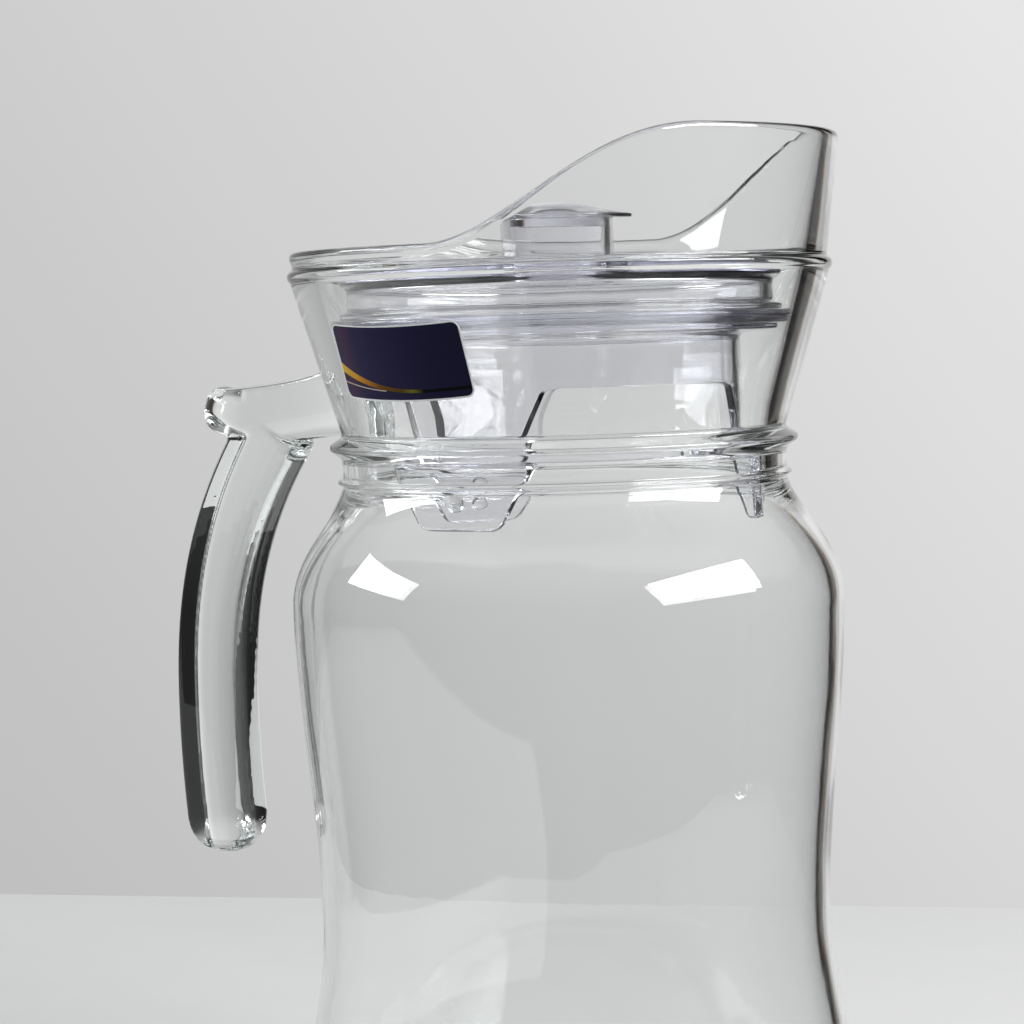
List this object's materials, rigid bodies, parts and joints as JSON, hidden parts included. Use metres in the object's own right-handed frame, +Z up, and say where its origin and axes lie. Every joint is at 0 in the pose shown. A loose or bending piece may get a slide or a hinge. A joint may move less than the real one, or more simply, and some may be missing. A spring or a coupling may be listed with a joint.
{
  "type": "water jug with lid",
  "caption": "Clear glass water jug with a spout, an open side handle and a lift-off turning lid with pouring windows.",
  "frame": {"origin": "on the jug's axis, in the plane that the jug stands on", "axes": "+Z up along the jug's axis, +X towards the spout, the handle on -X"},
  "size_m": [0.1665, 0.128, 0.251],
  "materials": {
    "clear_glass": "polished clear glass, faintly green where it is thick",
    "clear_plastic": "clear moulded plastic, faintly violet along its edges",
    "seal_plastic": "soft clear plastic, slightly cloudy",
    "label_film": "printed film, very dark blue with a gold curve"
  },
  "bodies": {
    "jug": {"jug_body": "clear_glass", "handle": "clear_glass", "label": "label_film"},
    "lid_seat": {"seal_ring": "seal_plastic"},
    "lid": {"lid_cover": "clear_plastic", "lid_insert": "clear_plastic", "knob_cap": "clear_plastic"}
  },
  "joints": [
    {"name": "lid_lift", "type": "slide", "parent": "jug", "child": "lid_seat", "axis": [0, 0, 1], "range_m": [0, 0.14]},
    {"name": "lid_turn", "type": "hinge", "parent": "lid_seat", "child": "lid", "pos_m": [0, 0, 0.212], "axis": [0, 0, 1], "continuous": true}
  ]
}
